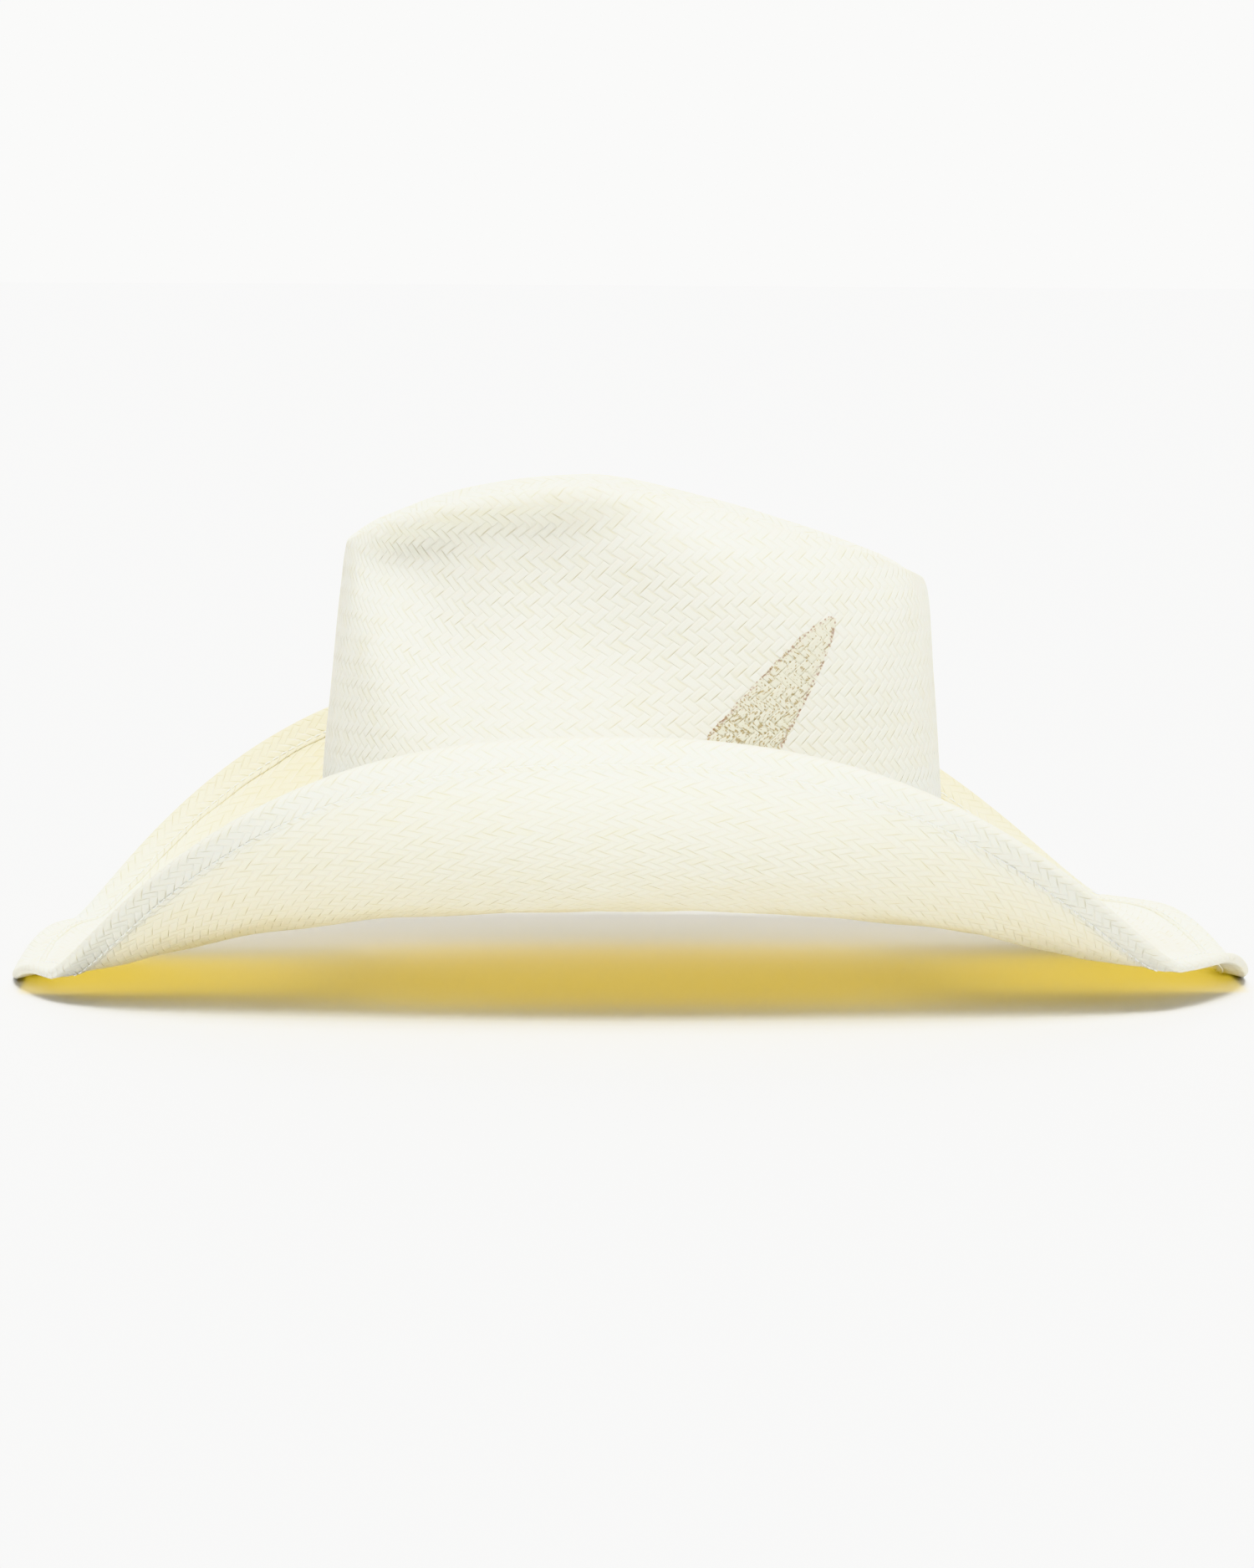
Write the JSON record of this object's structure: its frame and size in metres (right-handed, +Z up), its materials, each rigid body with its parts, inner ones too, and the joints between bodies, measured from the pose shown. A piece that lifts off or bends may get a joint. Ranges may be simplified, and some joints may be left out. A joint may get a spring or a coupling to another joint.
{
  "type": "cowboy hat",
  "caption": "Straw cowboy hat with a creased, side-dented crown, a brim rolled up at the sides and wired in a folded edge band, a hatband and an inner sweatband.",
  "frame": {"origin": "on the surface the hat rests on, under the middle of the brim", "axes": "+Z up, -X towards the hat's front, +X towards its back, the wearer's left at -Y"},
  "size_m": [0.3957, 0.291, 0.1589],
  "materials": {
    "straw": "bleached paper straw in a diagonal twill weave, stiffened, satin",
    "straw_band": "the same straw cloth folded flat over the edge",
    "wire": "bare spring wire",
    "sleeve": "crimped tube",
    "thread": "polyester thread",
    "sweatband_leather": "matte sheepskin, fine grain",
    "reed": "round plastic reed",
    "tape": "woven seam tape",
    "tab": "blank satin tab",
    "ribbon": "grosgrain ribbon",
    "hatband": "narrow natural leather strap"
  },
  "bodies": {
    "root": {"straw_body": "straw", "edge_band": "straw_band", "brim_wire": "wire", "wire_sleeve": "sleeve", "edge_stitching": "thread", "sweatband": "sweatband_leather", "sweatband_reed": "reed", "sweatband_stitching": "thread", "sweatband_seam_tape": "tape", "size_tab": "tab", "sweatband_bow": "ribbon", "hatband": "hatband", "hatband_keeper": "hatband", "hatband_tacks": "thread"}
  },
  "joints": []
}
